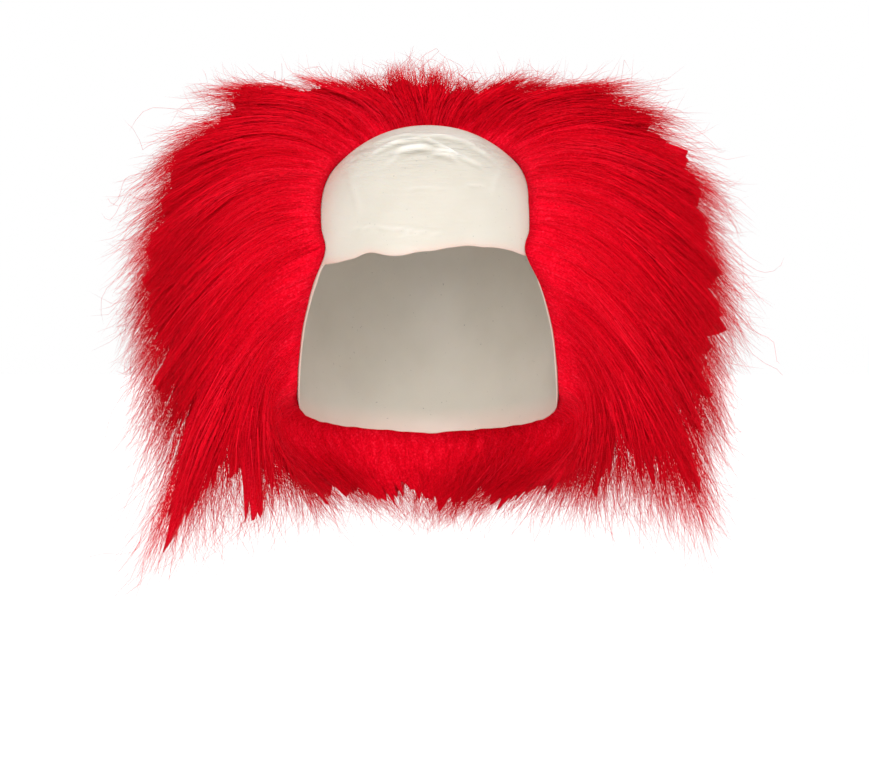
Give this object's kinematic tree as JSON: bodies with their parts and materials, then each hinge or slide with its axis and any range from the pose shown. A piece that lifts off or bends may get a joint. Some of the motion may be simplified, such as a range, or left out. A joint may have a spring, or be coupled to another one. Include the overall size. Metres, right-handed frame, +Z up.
{
  "type": "bald-top clown wig",
  "caption": "Thin latex bald cap with a wide flare of wild frizzed hair round its sides, back and nape, worn over the head.",
  "frame": {"origin": "the point on the inside of the cap's top where the wearer's crown touches it, which is the mount head_seat; the wig is stored as worn", "axes": "+Z up, the wearer faces -Y, so +X is the wearer's left and +Y the back of the head"},
  "size_m": [0.3744, 0.2706, 0.3068],
  "materials": {
    "cap_latex": "satin cream-white latex, faintly creased",
    "hair_fibre": "matt, finely crimped red synthetic fibre"
  },
  "bodies": {
    "root": {"latex_cap": "cap_latex", "crown_hair": "hair_fibre", "left_side_hair": "hair_fibre", "right_side_hair": "hair_fibre", "nape_hair": "hair_fibre", "back_hair": "hair_fibre"}
  },
  "joints": []
}
